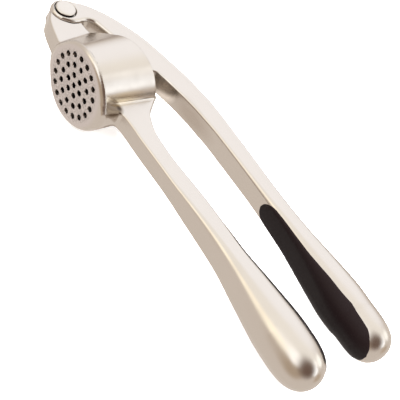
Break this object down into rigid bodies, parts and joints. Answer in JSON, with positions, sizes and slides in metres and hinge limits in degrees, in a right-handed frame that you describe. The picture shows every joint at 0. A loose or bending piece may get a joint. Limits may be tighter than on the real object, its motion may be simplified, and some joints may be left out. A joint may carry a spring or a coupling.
{
  "type": "garlic press",
  "caption": "Hand-held garlic press: two satin metal handles on a domed pivot, a swivelling plunger, a perforated chamber and a dark soft grip set into the inside of each handle.",
  "frame": {"origin": "bottom centre of the bounding box, with the press lying on its side", "axes": "+X along the handles from the pivot to the bulbs, -Y out of the sieve's outer face, +Z along the pivot pin towards its domed head and the shortest extent"},
  "size_m": [0.1888, 0.0596, 0.0342],
  "materials": {
    "casting": "satin plated",
    "pin": "polished plated",
    "grip": "soft matte"
  },
  "bodies": {
    "lower": {"lower_handle": "casting", "lower_grip": "grip"},
    "upper": {"upper_handle": "casting", "upper_grip": "grip", "pivot_pin": "pin", "pivot_cap": "pin", "plunger_pin": "pin"},
    "plunger": {"plunger": "casting"}
  },
  "joints": [
    {"name": "handle_hinge", "type": "hinge", "parent": "lower", "child": "upper", "pos_m": [-0.0884, -0.0153, 0.0171], "axis": [0, 0, 1], "range_deg": [-4.5, 95]},
    {"name": "plunger_swivel", "type": "hinge", "parent": "upper", "child": "plunger", "pos_m": [-0.055, -0.0038, 0.0171], "axis": [0, 0, 1], "range_deg": [-9.6, 0.5]}
  ],
  "couplings": [
    {"joint": "plunger_swivel", "follows": "handle_hinge", "ratio": -0.1}
  ]
}
